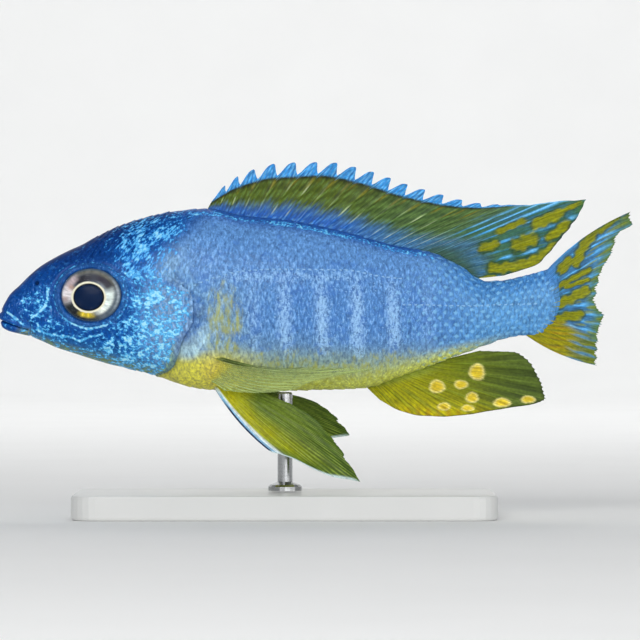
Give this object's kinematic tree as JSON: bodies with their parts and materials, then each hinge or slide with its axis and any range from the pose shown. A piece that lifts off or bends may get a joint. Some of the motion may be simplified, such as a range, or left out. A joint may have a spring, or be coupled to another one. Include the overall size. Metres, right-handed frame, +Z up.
{
  "type": "peacock cichlid model",
  "caption": "Still, life-size museum model of a peacock cichlid in side pose, fins spread, held on one rod over a flat display base.",
  "frame": {"origin": "middle of the floor under the whole model, at the underside of the stand's base", "axes": "+X along the fish from snout to tail, +Y towards its right side, +Z up"},
  "size_m": [0.1266, 0.04, 0.071],
  "materials": {
    "head_skin": "satin",
    "flank_skin": "satin",
    "dorsal_membrane": "satin",
    "anal_membrane": "satin",
    "tail_membrane": "satin",
    "pectoral_membrane": "satin",
    "pelvic_membrane": "satin",
    "iris": "gloss",
    "base_lacquer": "satin",
    "rod_steel": "satin"
  },
  "bodies": {
    "root": {"head": "head_skin", "gill_cover_left": "head_skin", "gill_cover_right": "head_skin", "torso": "flank_skin", "tail_stalk": "flank_skin", "eye_left": "iris", "eye_right": "iris", "dorsal_fin": "dorsal_membrane", "anal_fin": "anal_membrane", "caudal_fin": "tail_membrane", "pectoral_fin_left": "pectoral_membrane", "pectoral_fin_right": "pectoral_membrane", "pelvic_fin_left": "pelvic_membrane", "pelvic_fin_right": "pelvic_membrane", "stand_base": "base_lacquer", "stand_rod": "rod_steel"}
  },
  "joints": []
}
